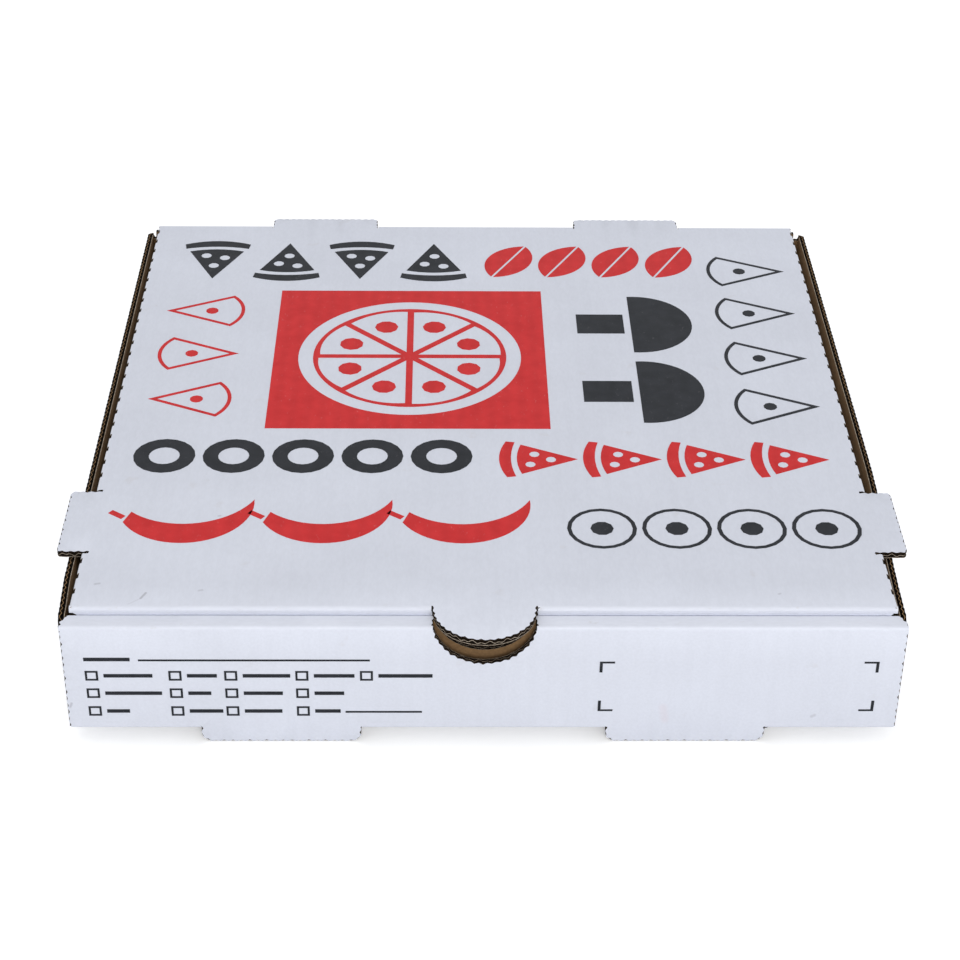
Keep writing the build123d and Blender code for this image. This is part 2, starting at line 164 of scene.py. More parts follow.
# Materials
class Paint:
    """A node material with a few helpers to wire it."""

    def __init__(self, name, roughness, specular):
        self.material = bpy.data.materials.new(name)
        self.material.use_nodes = True
        self.tree = self.material.node_tree
        self.shader = self.tree.nodes["Principled BSDF"]
        self.shader.inputs["Roughness"].default_value = roughness
        self.shader.inputs["Specular IOR Level"].default_value = specular
        self.place = self.tree.nodes.new("ShaderNodeTexCoord").outputs["Object"]

    def node(self, kind, **values):
        made = self.tree.nodes.new(kind)
        for key, value in values.items():
            setattr(made, key, value)
        return made

    def link(self, source, target):
        self.tree.links.new(source, target)

    def noise(self, size, detail=3.0, stretch=(1, 1, 1)):
        """Noise whose cells are about size metres across."""
        mapping = self.node("ShaderNodeMapping")
        mapping.inputs["Scale"].default_value = stretch
        texture = self.node("ShaderNodeTexNoise")
        texture.inputs["Scale"].default_value = 1 / size
        texture.inputs["Detail"].default_value = detail
        self.link(self.place, mapping.inputs["Vector"])
        self.link(mapping.outputs["Vector"], texture.inputs["Vector"])
        return texture.outputs["Fac"]

    def ramp(self, source, *stops):
        """Colour ramp from (position, colour) stops."""
        ramp = self.node("ShaderNodeValToRGB")
        elements = ramp.color_ramp.elements
        while len(elements) < len(stops):
            elements.new(0.5)
        for element, (position, colour) in zip(elements, stops):
            element.position = position
            element.color = (*colour, 1)
        self.link(source, ramp.inputs["Fac"])
        return ramp.outputs["Color"]

    def level(self, source, low, high, out_low=0.0, out_high=1.0):
        """Maps source from low..high to out_low..out_high, clamped."""
        mapped = self.node("ShaderNodeMapRange")
        mapped.inputs["From Min"].default_value = low
        mapped.inputs["From Max"].default_value = high
        mapped.inputs["To Min"].default_value = out_low
        mapped.inputs["To Max"].default_value = out_high
        self.link(source, mapped.inputs["Value"])
        return mapped.outputs["Result"]

    def combine(self, first, second, operation):
        """Result of a math operation on numbers or sockets."""
        made = self.node("ShaderNodeMath", operation=operation)
        for socket, value in zip(made.inputs, (first, second)):
            if isinstance(value, (int, float)):
                socket.default_value = value
            else:
                self.link(value, socket)
        return made.outputs["Value"]

    def mix(self, amount, first, second, blend="MIX"):
        """Blend of two colours; a colour mix node has its factor at input 0 and its colours at 6 and 7."""
        made = self.node("ShaderNodeMix", data_type="RGBA", blend_type=blend)
        for index, value in ((0, amount), (6, first), (7, second)):
            socket = made.inputs[index]
            if isinstance(value, (int, float)):
                socket.default_value = value
            elif isinstance(value, tuple):
                socket.default_value = (*value, 1)
            else:
                self.link(value, socket)
        return made.outputs[2]

    def axis(self, index):
        """One coordinate: 0 across, 1 front to back, 2 up."""
        split = self.node("ShaderNodeSeparateXYZ")
        self.link(self.place, split.inputs["Vector"])
        return split.outputs[index]

    def ripple(self, coordinate, pitch):
        """Sine of pitch metres along one axis."""
        turned = self.combine(coordinate, 2 * pi / pitch, "MULTIPLY")
        return self.combine(turned, 0.0, "SINE")

    def washboard(self):
        """The waves of the flutes, from 0 in the hollows to 1 on the crests."""
        return self.level(self.ripple(self.axis(0), FLUTE_PITCH / 1000), -1, 1)

    def bump(self, height, depth):
        """Bump of depth metres where height goes from 0 to 1."""
        made = self.node("ShaderNodeBump")
        made.inputs["Strength"].default_value = 1.0
        made.inputs["Distance"].default_value = depth
        self.link(height, made.inputs["Height"])
        if self.shader.inputs["Normal"].is_linked:
            self.link(self.shader.inputs["Normal"].links[0].from_socket, made.inputs["Normal"])
        self.link(made.outputs["Normal"], self.shader.inputs["Normal"])

    def mark(self, colour, start, stop, width, strength, tint):
        """A scuff or scratch between two points in millimetres, width wide, over colour."""
        begin = Vector(start) / 1000
        run = Vector(stop) / 1000 - begin
        offset = self.node("ShaderNodeVectorMath", operation="SUBTRACT")
        self.link(self.place, offset.inputs[0])
        offset.inputs[1].default_value = begin
        dot = self.node("ShaderNodeVectorMath", operation="DOT_PRODUCT")
        self.link(offset.outputs[0], dot.inputs[0])
        dot.inputs[1].default_value = run
        part = self.level(dot.outputs["Value"], 0.0, run.length_squared)
        along = self.node("ShaderNodeVectorMath", operation="SCALE")
        along.inputs[0].default_value = run
        self.link(part, along.inputs["Scale"])
        apart = self.node("ShaderNodeVectorMath", operation="DISTANCE")
        self.link(offset.outputs[0], apart.inputs[0])
        self.link(along.outputs[0], apart.inputs[1])
        shown = self.level(apart.outputs["Value"], width / 1000, 0.3 * width / 1000, 0.0, strength)
        return self.mix(shown, colour, tint)

    def painted_light(self, colour, gain, *ramps):
        """Painted light: colour lightened by gain where every ramp (axis, from, to in millimetres) has
        reached its end.
        """
        amount = 1.0
        for index, start, stop in ramps:
            reached = self.level(self.axis(index), start / 1000, stop / 1000)
            amount = self.combine(reached, amount, "MULTIPLY")
        return self.mix(amount, colour, self.mix(1.0, colour, (gain, gain, gain), "MULTIPLY"))

    def finish(self, colour):
        self.link(colour, self.shader.inputs["Base Color"])
        return self.material


def speckled(paint, base, fibres):
    """Base with the fibres of bleached paper in it."""
    speckle = paint.ramp(fibres, (0.35, (0.93, 0.93, 0.93)), (0.65, (1.0, 1.0, 1.0)))
    return paint.mix(0.5, base, speckle, "MULTIPLY")


def groove_painted_light(paint, base):
    """Painted light: paper lightened at the bottom of the groove between the rolled wall and the lid, where
    shade falls.
    """
    blur = 0.3
    near, far = FRONT + BAND_DEPTH - 0.3, FRONT + BAND_DEPTH + 1.0
    sides = (1, near - blur, near), (1, far + blur, far)
    heights = (2, WALL_TOP + 0.5, WALL_TOP - 0.2), (2, 44.0, 44.5)
    return paint.painted_light(base, 1.28, *sides, *heights)


def white_paper():
    """Bleached outer liner: cloudy, with fibres and the faint washboard of the flutes."""
    paint = Paint("white_liner", 0.62, 0.28)
    clouds = paint.noise(0.035, 4)
    fibres = paint.noise(0.0011, 2, (1, 0.35, 1))
    base = paint.ramp(clouds, (0.3, (0.612, 0.632, 0.706)), (0.7, (0.646, 0.668, 0.746)))
    base = speckled(paint, base, fibres)
    waves = paint.washboard()
    shading = paint.ramp(waves, (0.0, (0.975, 0.975, 0.975)), (1.0, (1.0, 1.0, 1.0)))
    base = paint.mix(0.4, base, shading, "MULTIPLY")
    # Painted highlight: the lid's top is lightened over the last 16 mm before its front fold.
    lid_edge = (1, LID_FRONT + 16, LID_FRONT)
    lid_face = (2, LID_TOP - 0.8, LID_TOP - 0.5)
    base = paint.painted_light(base, 1.07, lid_edge, lid_face)
    # Painted highlight: the front wall is lightened over its top 16 mm, below the rolled band.
    wall_edge = (2, WALL_TOP - 16, WALL_TOP - 1)
    below_lid = (2, LID_TOP - 1, LID_TOP - 2)
    wall_face = (1, FRONT + 0.8, FRONT + 0.5)
    base = paint.painted_light(base, 1.06, wall_edge, below_lid, wall_face)
    scuffs = paint.level(paint.noise(0.012, 5), 0.68, 0.74)
    base = paint.mix(paint.combine(scuffs, 0.12, "MULTIPLY"), base, (0.42, 0.36, 0.30))
    # Painted light that lifts the shade in the groove behind the rolled band.
    base = groove_painted_light(paint, base)
    for start, stop, width, strength, tint in MARKS:
        base = paint.mark(base, start, stop, width, strength, tint)
    paint.bump(waves, 0.00003)
    paint.bump(fibres, 0.00004)
    paint.bump(clouds, 0.0006)
    return paint.finish(base)


def crease_highlight_paper():
    """Outer liner on the folds and the rolled band: pressed smoother, with a paler colour that is partly
    pressed paper and partly painted highlight.
    """
    paint = Paint("creased_liner_highlight", 0.5, 0.3)
    clouds = paint.noise(0.02, 4)
    fibres = paint.noise(0.0011, 2, (0.35, 1, 1))
    base = paint.ramp(clouds, (0.3, (0.640, 0.660, 0.736)), (0.7, (0.678, 0.698, 0.774)))
    base = speckled(paint, base, fibres)
    # Painted highlight: the rolled band's top is lightened towards its front crease.
    near, far = FRONT + 1, FRONT + BAND_DEPTH
    base = paint.painted_light(base, 1.04, (1, far, near), (2, WALL_TOP - 0.8, WALL_TOP - 0.5))
    wear = paint.level(paint.noise(0.004, 5), 0.66, 0.76, 0.0, 0.25)
    base = paint.mix(wear, base, (0.46, 0.42, 0.38))
    # Painted light that lifts the shade in the groove behind the rolled band.
    base = groove_painted_light(paint, base)
    teeth = paint.level(paint.ripple(paint.axis(0), TOOTH_PITCH / 1000), 0.2, 0.7)
    low = paint.level(paint.axis(2), 0.0006, 0.0003)
    uneven = paint.level(paint.noise(0.014, 2), 0.4, 0.6, 0.05, 0.5)
    dots = paint.combine(paint.combine(teeth, low, "MULTIPLY"), uneven, "MULTIPLY")
    base = paint.mix(dots, base, (0.10, 0.09, 0.09))
    paint.bump(fibres, 0.00004)
    paint.bump(clouds, 0.0004)
    return paint.finish(base)


def kraft_paper():
    """Brown inner liner with darker and paler fibres."""
    paint = Paint("kraft_liner", 0.72, 0.2)
    clouds = paint.noise(0.03, 4)
    fibres = paint.noise(0.0014, 3, (1, 0.25, 1))
    base = paint.ramp(clouds, (0.3, (0.206, 0.124, 0.058)), (0.7, (0.262, 0.159, 0.076)))
    flecks = paint.ramp(fibres, (0.3, (0.74, 0.72, 0.70)), (0.7, (1.08, 1.06, 1.04)))
    base = paint.mix(0.8, base, flecks, "MULTIPLY")
    paint.bump(paint.washboard(), 0.00004)
    paint.bump(fibres, 0.00005)
    return paint.finish(base)


def cut_edge():
    """Raw cut paper: beige, rough and fibrous."""
    paint = Paint("cut_edge", 0.85, 0.1)
    fibres = paint.noise(0.0006, 3)
    base = paint.ramp(fibres, (0.3, (0.17, 0.13, 0.095)), (0.7, (0.42, 0.36, 0.29)))
    paint.bump(fibres, 0.00008)
    return paint.finish(base)


def flute_painted_shade():
    """Painted shade: a near-black stand-in for the shade in the hollows of the fluting, on the faces inside
    the cut edges.
    """
    paint = Paint("flute_painted_shade", 0.9, 0.05)
    fibres = paint.noise(0.001, 3)
    base = paint.ramp(fibres, (0.3, (0.014, 0.010, 0.007)), (0.7, (0.036, 0.025, 0.017)))
    paint.bump(fibres, 0.0001)
    return paint.finish(base)


def ink(name, low, high, bare):
    """Flexo ink: slightly uneven, with the board's fibres and pinholes showing through."""
    paint = Paint(name, 0.55, 0.15)
    clouds = paint.noise(0.006, 4)
    fibres = paint.noise(0.0008, 2, (1, 0.35, 1))
    base = paint.ramp(clouds, (0.3, low), (0.7, high))
    pinholes = paint.level(fibres, 0.66, 0.78, 0.0, bare)
    base = paint.mix(pinholes, base, (0.55, 0.52, 0.54))
    bands = paint.ramp(paint.washboard(), (0.0, (0.94, 0.94, 0.94)), (1.0, (1.0, 1.0, 1.0)))
    base = paint.mix(1.0, base, bands, "MULTIPLY")
    paint.bump(fibres, 0.00003)
    return paint.finish(base)


PAINTS = [white_paper(), kraft_paper(), cut_edge(), flute_painted_shade(), crease_highlight_paper()]


# Meshes
class Sheet:
    """Collects points in millimetres, faces and their paints."""

    def __init__(self):
        self.points = []
        self.faces = []
        self.paints = []

    def add(self, points, faces, paint):
        """Adds faces; paint is one number, or one for each face."""
        base = len(self.points)
        self.points += points
        self.faces += [tuple(base + k for k in face) for face in faces]
        self.paints += paint if isinstance(paint, list) else [paint] * len(faces)

    def build(self, name):
        """The piece, with all its faces turned outward."""
        mesh = bpy.data.meshes.new(name)
        mesh.from_pydata([Vector(p) / 1000 for p in self.points], [], self.faces)
        for paint in PAINTS:
            mesh.materials.append(paint)
        mesh.polygons.foreach_set("material_index", self.paints)
        mesh.polygons.foreach_set("use_smooth", [True] * len(self.faces))
        mesh.update()
        shell = bmesh.new()
        shell.from_mesh(mesh)
        bmesh.ops.recalc_face_normals(shell, faces=shell.faces)
        shell.to_mesh(mesh)
        shell.free()
        mesh.set_sharp_from_angle(angle=SHARP_ANGLE)
        piece = bpy.data.objects.new(name, mesh)
        bpy.context.scene.collection.objects.link(piece)
        return piece


def arc(centre_u, centre_v, radius, start, stop, kind="cut"):
    """Corners along an arc, angles in degrees."""
    count = max(2, ceil(abs(radians(stop - start)) * radius / CUT_STEP))
    corners = []
    for k in range(count + 1):
        angle = radians(start + (stop - start) * k / count)
        corners.append((centre_u + radius * cos(angle), centre_v + radius * sin(angle), kind))
    return corners


def trace(corners):
    """Samples (u, v, cut or not, length so far) along a closed outline."""
    samples = []
    run = 0.0
    before = corners[-1][2]
    for here, after in zip(corners, corners[1:] + corners[:1]):
        length = hypot(after[0] - here[0], after[1] - here[1])
        if length < 1e-6:
            continue
        kind = here[2]
        count = max(1, ceil(length / (CUT_STEP if kind == "cut" else FOLD_STEP)))
        for k in range(count):
            part = k / count
            cut = kind == "cut" and (k > 0 or before == "cut")
            u = here[0] + (after[0] - here[0]) * part
            v = here[1] + (after[1] - here[1]) * part
            samples.append((u, v, cut, run + length * part))
        run += length
        before = kind
    return samples


def outward(samples):
    """Unit normals of the samples that point away from the board."""
    area = 0.0
    for a, b in zip(samples, samples[1:] + samples[:1]):
        area += a[0] * b[1] - b[0] * a[1]
    side = 1 if area > 0 else -1
    normals = []
    count = len(samples)
    for k in range(count):
        before, after = samples[k - 1], samples[(k + 1) % count]
        u, v = after[0] - before[0], after[1] - before[1]
        length = hypot(u, v) or 1.0
        normals.append((side * v / length, -side * u / length))
    return normals


def scallop(samples, normals, tooth=TOOTH_DEPTH):
    """The outline as the die's teeth leave it."""
    points = []
    for (u, v, cut, run), (nu, nv) in zip(samples, normals):
        depth = 0.0
        if cut:
            uneven = 0.75 + 0.25 * sin(run * 0.83 + u * 0.31)
            depth = tooth * uneven * (1 - abs(sin(pi * run / TOOTH_PITCH))) ** 0.7
        points.append((u - nu * depth, v - nv * depth))
    return points


def inset(samples, normals, points):
    """For each sample the point of the recessed core, or None where it would fold over."""
    cells = {}
    for u, v in points:
        cells.setdefault((int(u // CELL), int(v // CELL)), []).append((u, v))
    core = []
    for (u, v, cut, _), (nu, nv) in zip(samples, normals):
        if not cut:
            core.append((u, v))
            continue
        u, v = u - nu * CORE_INSET, v - nv * CORE_INSET
        cell_u, cell_v = int(u // CELL), int(v // CELL)
        near = (
            other
            for i in (-1, 0, 1)
            for j in (-1, 0, 1)
            for other in cells.get((cell_u + i, cell_v + j), ())
        )
        clear = all(hypot(u - a, v - b) > CORE_SPACING * CORE_INSET for a, b in near)
        core.append((u, v) if clear else None)
    return core


def triangulate(outline, grid, fine):
    """Triangles in an outline, the outline among their points, and the point each of them came from."""
    points = [Vector(p) for p in outline]
    count = len(points)
    edges = [(k, (k + 1) % count) for k in range(count)]
    if grid:
        low_u = min(p.x for p in points)
        high_u = max(p.x for p in points)
        low_v = min(p.y for p in points)
        high_v = max(p.y for p in points)
        shift_u, shift_v = GRID_SHIFT
        for i in range(1, int((high_u - low_u) / grid)):
            for j in range(1, int((high_v - low_v) / grid)):
                points.append(Vector((low_u + i * grid + shift_u, low_v + j * grid + shift_v)))
    points += [Vector(p) for p in fine]
    spots, _, faces, origins, _, _ = delaunay_2d_cdt(points, edges, [], 2, 1e-6)
    where = {}
    for new, olds in enumerate(origins):
        for old in olds:
            where[old] = new
    used = sorted({k for face in faces for k in face})
    number = {old: new for new, old in enumerate(used)}
    sources = [origins[k][0] if origins[k] else len(points) for k in used]
    spots = [(spots[k].x, spots[k].y) for k in used]
    faces = [tuple(number[k] for k in face) for face in faces]
    rim = [number[where[k]] for k in range(count) if where.get(k) in number]
    rim = [k for n, k in enumerate(rim) if k != rim[n - 1]]
    return spots, faces, rim, sources


def slab(sheet, outline, place, low, high, paints, grid, lower=(), fine=()):
    """Closed layer of board between depths low and high; paints are below, above and rim.

    lower is the outline at depth low, where it differs. fine are more points inside.
    """
    spots, faces, rim, sources = triangulate(outline, grid, fine)
    count = len(spots)
    feet = [lower[source] if source < len(lower) else spot for spot, source in zip(spots, sources)]
    points = [place(u, v, low) for u, v in feet] + [place(u, v, high) for u, v in spots]
    below = [tuple(reversed(face)) for face in faces]
    above = [tuple(count + k for k in face) for face in faces]
    sides = [(a, b, count + b, count + a) for a, b in zip(rim, rim[1:] + rim[:1])]
    kinds = [paints[0]] * len(below) + [paints[1]] * len(above) + [paints[2]] * len(sides)
    sheet.add(points, below + above + sides, kinds)


def ribbon(sheet, samples, rim, core, place, flute, paint):
    """The wavy medium between the liners, seen along a cut edge, crushed a little by each tooth."""
    swing = (BOARD - 2 * LINER - MEDIUM) / 2
    sections = []
    last = next(c for c in core if c)
    for (_, _, _, run), point, inner in zip(samples, rim, core):
        last = inner or last
        wave = FLUTE_WAVE * sin(2 * pi * point[flute] / FLUTE_PITCH)
        crush = TOOTH_CRUSH * cos(2 * pi * run / TOOTH_PITCH)
        middle = BOARD / 2 + swing * (wave + crush)
        section = []
        for (u, v), half in ((point, -1), (point, 1), (last, 1), (last, -1)):
            section.append(place(u, v, middle + half * MEDIUM / 2))
        sections.append(section)
    points = [p for section in sections for p in section]
    faces = []
    count = len(sections)
    for k in range(count):
        after = (k + 1) % count
        for j in range(4):
            faces.append((4 * k + j, 4 * k + (j + 1) % 4, 4 * after + (j + 1) % 4, 4 * after + j))
    # The medium's faces other than its rim get the near-black painted shade of the hollows.
    sheet.add(points, faces, [paint, CORE_SHADE, CORE_SHADE, CORE_SHADE] * count)


def panel(sheet, corners, place, flute=0, face=WHITE, fine=(), medium=EDGE):
    """Corrugated panel from its outline; depth 0 is the kraft face and BOARD the white one."""
    grid = 0 if fine else GRID
    samples = trace(corners)
    normals = outward(samples)
    rim = scallop(samples, normals)
    inner_rim = scallop(samples, normals, INNER_TOOTH_DEPTH)
    core = inset(samples, normals, rim)
    ribbon(sheet, samples, inner_rim, core, place, flute, medium)
    # Faces towards the hollow between the liners get the near-black painted shade, and the filling slab is a
    # dark block standing for the shade inside the board.
    slab(sheet, rim, place, BOARD - LINER, BOARD, (CORE_SHADE, face, CORE_SHADE), grid, inner_rim, fine)
    slab(sheet, inner_rim, place, 0, LINER, (KRAFT, CORE_SHADE, EDGE), grid, (), fine)
    filling = [point for point in core if point][::2]
    overlap = 0.7 * LINER
    slab(sheet, filling, place, overlap, BOARD - overlap, (CORE_SHADE, CORE_SHADE, CORE_SHADE), 0, (), fine)


def bend(sheet, place, start, stop, radius, leads=(0.0, 0.0), steps=7):
    """Rounded outer liner over a fold, from start to stop along it.

    place takes (a, b, run): the fold's cross-section about the arc's centre, and the place along it.
    leads are the straight tails before and after the quarter turn.
    """
    arc_points = []
    for k in range(steps + 1):
        angle = pi / 2 * k / steps
        arc_points.append((cos(angle), sin(angle)))
    outer = [(radius * c, radius * s) for c, s in arc_points]
    inner = [((radius - LINER) * c, (radius - LINER) * s) for c, s in arc_points]
    for layer, r in ((outer, radius), (inner, radius - LINER)):
        if leads[0]:
            layer.insert(0, (r, -leads[0]))
        if leads[1]:
            layer.append((-leads[1], r))
    section = outer + inner[::-1]
    count = max(1, ceil((stop - start) / FOLD_STEP))
    size = len(section)
    points = []
    for k in range(count + 1):
        run = start + (stop - start) * k / count
        points += [place(a, b, run) for a, b in section]
    faces = [tuple(range(size)), tuple(count * size + k for k in reversed(range(size)))]
    for k in range(count):
        for j in range(size):
            after = (j + 1) % size
            faces.append((k * size + j, (k + 1) * size + j, (k + 1) * size + after, k * size + after))
    # Painted highlight: the middle of each fold's outer arc gets the paler crease paint, and the rest of the
    # arc stays white.
    highlight_span = [0.2 < j / len(outer) < 0.8 for j in range(len(outer) - 1)]
    outside = [CREASE_AND_HIGHLIGHT if painted_light else WHITE for painted_light in highlight_span]
    paints = [EDGE, EDGE] + (outside + [EDGE] + [KRAFT] * (len(inner) - 1) + [EDGE]) * count
    sheet.add(points, faces, paints)


def rounded(u, v, radius, start, kind="cut"):
    """Rounded corner whose arc is centred at (u, v), a quarter turn from start degrees."""
    return arc(u, v, radius, start, start + 90, kind)


# Tray
def bottom_panel(sheet):
    side = HALF_WIDTH - LOW_FOLD
    near, far = FRONT + LOW_FOLD, BACK - LOW_FOLD
    slot = FRONT + BAND_DEPTH + SLOT_GAP
    corners = [(-side, near, "fold")]
    for left, right in ((-TAB_RIGHT, -TAB_LEFT), (TAB_LEFT, TAB_RIGHT)):
        corners += [(left, near, "cut"), (left, slot, "cut"), (right, slot, "cut"), (right, near, "fold")]
    corners += [(side, near, "fold"), (side, far, "fold"), (-side, far, "fold")]
    panel(sheet, corners, lambda u, v, w: (u, v, BOARD - w))


def bottom_folds(sheet):
    side, near, far = HALF_WIDTH - LOW_FOLD, FRONT + LOW_FOLD, BACK - LOW_FOLD
    for start, stop in ((-side, -TAB_RIGHT), (-TAB_LEFT, TAB_LEFT), (TAB_RIGHT, side)):
        bend(sheet, lambda a, b, run: (run, near - a, LOW_FOLD - b), start, stop, LOW_FOLD)
    bend(sheet, lambda a, b, run: (run, far + a, LOW_FOLD - b), -side, side, LOW_FOLD)
    for hand in (-1, 1):
        bend(sheet, lambda a, b, run: (hand * (side + a), run, LOW_FOLD - b), near, far, LOW_FOLD)
        for y, way in ((near, -1), (far, 1)):
            corner_ball(sheet, hand * side, y, hand, way)


def corner_ball(sheet, x, y, hand, way):
    """Rounded outer corner where two bottom folds meet."""
    steps = 5
    points, faces = [(x, y, LOW_FOLD)], []
    for i in range(steps + 1):
        down = pi / 2 * i / steps
        for j in range(steps + 1):
            turn = pi / 2 * j / steps
            across, along = LOW_FOLD * cos(down) * cos(turn), LOW_FOLD * cos(down) * sin(turn)
            points.append((x + hand * across, y + way * along, LOW_FOLD - LOW_FOLD * sin(down)))
    row = steps + 1
    for i in range(steps):
        for j in range(steps):
            base = 1 + i * row + j
            faces.append((base, base + 1, base + row + 1, base + row))
    for k in range(steps):
        faces.append((0, 2 + k, 1 + k))
        faces.append((0, 1 + k * row, 1 + (k + 1) * row))
        faces.append((0, row + (k + 1) * row, row + k * row))
    # The whole corner gets the paler crease paint, partly painted highlight.
    sheet.add(points, faces, CREASE_AND_HIGHLIGHT)


def notch(centre_v, top):
    """Arc of the finger notch from its left end at height top down and up to its right end."""
    reach = sqrt(CIRCLE ** 2 - (centre_v - top) ** 2)
    start = atan2(top - centre_v, -reach) * 180 / pi % 360
    stop = atan2(top - centre_v, reach) * 180 / pi % 360
    return arc(0, centre_v, CIRCLE, start, stop)


def front_wall(sheet):
    top = WALL_TOP - CREASE
    low = -TAB_DROP
    corners = [(-HALF_WIDTH, top, "cut"), (-HALF_WIDTH, LOW_FOLD, "fold")]
    for left, right in ((-TAB_RIGHT, -TAB_LEFT), (TAB_LEFT, TAB_RIGHT)):
        corners.append((left, LOW_FOLD, "cut"))
        corners += rounded(left + TAB_CORNER, low + TAB_CORNER, TAB_CORNER, 180)
        corners += rounded(right - TAB_CORNER, low + TAB_CORNER, TAB_CORNER, 270)
        corners.append((right, LOW_FOLD, "fold"))
    corners += [(HALF_WIDTH, LOW_FOLD, "cut"), (HALF_WIDTH, top, "fold")]
    circle = notch(WALL_TOP + NOTCH_CENTRE, top)[::-1]
    corners += circle[:-1] + [(*circle[-1][:2], "fold")]
    panel(sheet, corners, lambda u, v, w: (u, FRONT + BOARD - w, v))


def band(sheet):
    """Flat top of the rolled wall, its two creases and its slanting ends."""
    near, far = FRONT + CREASE, FRONT + BAND_DEPTH - REAR_CREASE
    middle = FRONT + NOTCH_CENTRE
    near_x = sqrt(CIRCLE ** 2 - (near - middle) ** 2)
    far_x = sqrt(CIRCLE ** 2 - (far - middle) ** 2)
    end = HALF_WIDTH - BAND_END_INSET
    for hand in (-1, 1):
        corners = [
            (hand * near_x, near, "fold"),
            (hand * HALF_WIDTH, near, "cut"),
            (hand * HALF_WIDTH, FRONT + BAND_SLANT, "cut"),
            (hand * end, far, "fold"),
            (hand * far_x, far, "cut"),
            (hand * CIRCLE, middle, "cut"),
        ]
        # The band's top gets the paler crease paint, partly painted highlight.
        panel(sheet, corners, lambda u, v, w: (u, v, WALL_TOP - BOARD + w), face=CREASE_AND_HIGHLIGHT)
        ends = sorted((hand * near_x, hand * HALF_WIDTH))
        bend(sheet, lambda a, b, run: (run, near - a, WALL_TOP - CREASE + b), *ends, CREASE)
        ends = sorted((hand * far_x, hand * (HALF_WIDTH - BAND_FOLD_INSET)))
        bend(sheet, lambda a, b, run: (run, far + a, WALL_TOP - REAR_CREASE + b), *ends, REAR_CREASE)


def inner_wall(sheet):
    half = INNER_HALF
    top = WALL_TOP - REAR_CREASE
    low = BOARD + BOTTOM_GAP
    inner, outer = LOCK_TAB
    corners = [(-half, top, "cut"), (-half, low, "cut")]
    for left, right in ((-outer, -inner), (inner, outer)):
        corners += [(left, low, "cut"), (left, 0.0, "cut"), (right, 0.0, "cut"), (right, low, "cut")]
    corners += [(half, low, "cut"), (half, top, "fold")]
    circle = notch(WALL_TOP + BAND_DEPTH - NOTCH_CENTRE, top)[::-1]
    corners += circle[:-1] + [(*circle[-1][:2], "fold")]
    panel(sheet, corners, lambda u, v, w: (u, FRONT + BAND_DEPTH - BOARD + w, v))


def smooth_step(value):
    """Eases from 0 to 1."""
    value = min(1.0, max(0.0, value))
    return value * value * (3 - 2 * value)


def leaning(hand, x, y, z):
    """Moves a point of a side strip out with its wall."""
    near, far, length = LEANS[hand]
    lean = near + (far - near) * smooth_step((y - SIDE_FRONT - CORNER) / length)
    return (hand * (x + lean * (z - BOARD) / (WALL_TOP - BOARD)), y, z)


def side_strip(sheet, hand):
    """Side wall with a corner tab at each end, bent from one strip."""
    tab = CORNER_TAB - CORNER
    turn = BEND_LENGTH
    wall = SIDE_BACK - SIDE_FRONT - 2 * CORNER
    rear = tab + 2 * turn + wall

    def place(u, z, w):
        """Bends the strip round its front corner, and round the rear one as its mirror image."""
        depth = BOARD - w
        mirrored = u > rear - turn / 2 - wall / 2
        along = tab + turn + wall + turn + tab - u if mirrored else u
        if along <= tab:
            x, y = HALF_WIDTH - CORNER_TAB + along, SIDE_FRONT + depth
        elif along <= tab + turn:
            angle = pi / 2 * (along - tab) / turn
            part = depth / BOARD
            outer_x = HALF_WIDTH - CORNER + CORNER * sin(angle)
            outer_y = SIDE_FRONT + CORNER - CORNER * cos(angle)
            inner_x = HALF_WIDTH - BEND_INSET + BEND_RADIUS * sin(angle)
            inner_y = SIDE_FRONT + BEND_INSET - BEND_RADIUS * cos(angle)
            x = outer_x + (inner_x - outer_x) * part
            y = outer_y + (inner_y - outer_y) * part
        else:
            x, y = HALF_WIDTH - depth, SIDE_FRONT + CORNER + along - tab - turn
        if mirrored:
            y = -y
        return leaning(hand, x, y, z)

    lift = BOARD + BOTTOM_GAP
    under_band = WALL_TOP - BOARD - BAND_GAP
    rear_top = WALL_TOP - REAR_TAB_LOWERED
    first, last = tab + 0.4 * turn, rear - 0.4 * turn
    slope_top, slope_foot = tab + turn + 2.9, tab + turn + 0.5
    end = rear + tab
    corners = [
        (0, lift, "cut"),
        (first, lift, "cut"),
        (first, LOW_FOLD, "fold"),
        (last, LOW_FOLD, "cut"),
        (last, lift, "cut"),
        (end, lift, "cut"),
        (end, rear_top, "cut"),
        (rear, rear_top, "cut"),
        (rear, WALL_TOP, "cut"),
        (slope_top, WALL_TOP, "cut"),
        (slope_foot, under_band, "cut"),
        (0, under_band, "cut"),
    ]
    step = 6
    columns = [tab + turn * k / 4 for k in range(5)] + [rear - turn * k / 4 for k in range(5)]
    columns += [tab + turn + step * k for k in range(1, int(wall / step))]
    columns += [tab / 2, rear + tab / 2]
    fine = [(u, z) for u in columns for z in range(5, 45, step)]
    panel(sheet, corners, place, flute=1, fine=fine, medium=KRAFT)


def back_wall(sheet):
    half = BACK_HALF
    low = LID_TOP - REAR_NOTCH_DEPTH
    inner, outer = REAR_NOTCH
    corners = [(-half, BACK_TOP, "cut"), (-half, LOW_FOLD, "fold")]
    corners += [(half, LOW_FOLD, "cut"), (half, BACK_TOP, "fold")]
    for right, left in ((outer, inner), (-inner, -outer)):
        corners += [(right, BACK_TOP, "cut"), (right, low, "cut")]
        corners += [(left, low, "cut"), (left, BACK_TOP, "fold")]
    panel(sheet, corners, lambda u, v, w: (u, BACK - BOARD + w, v))


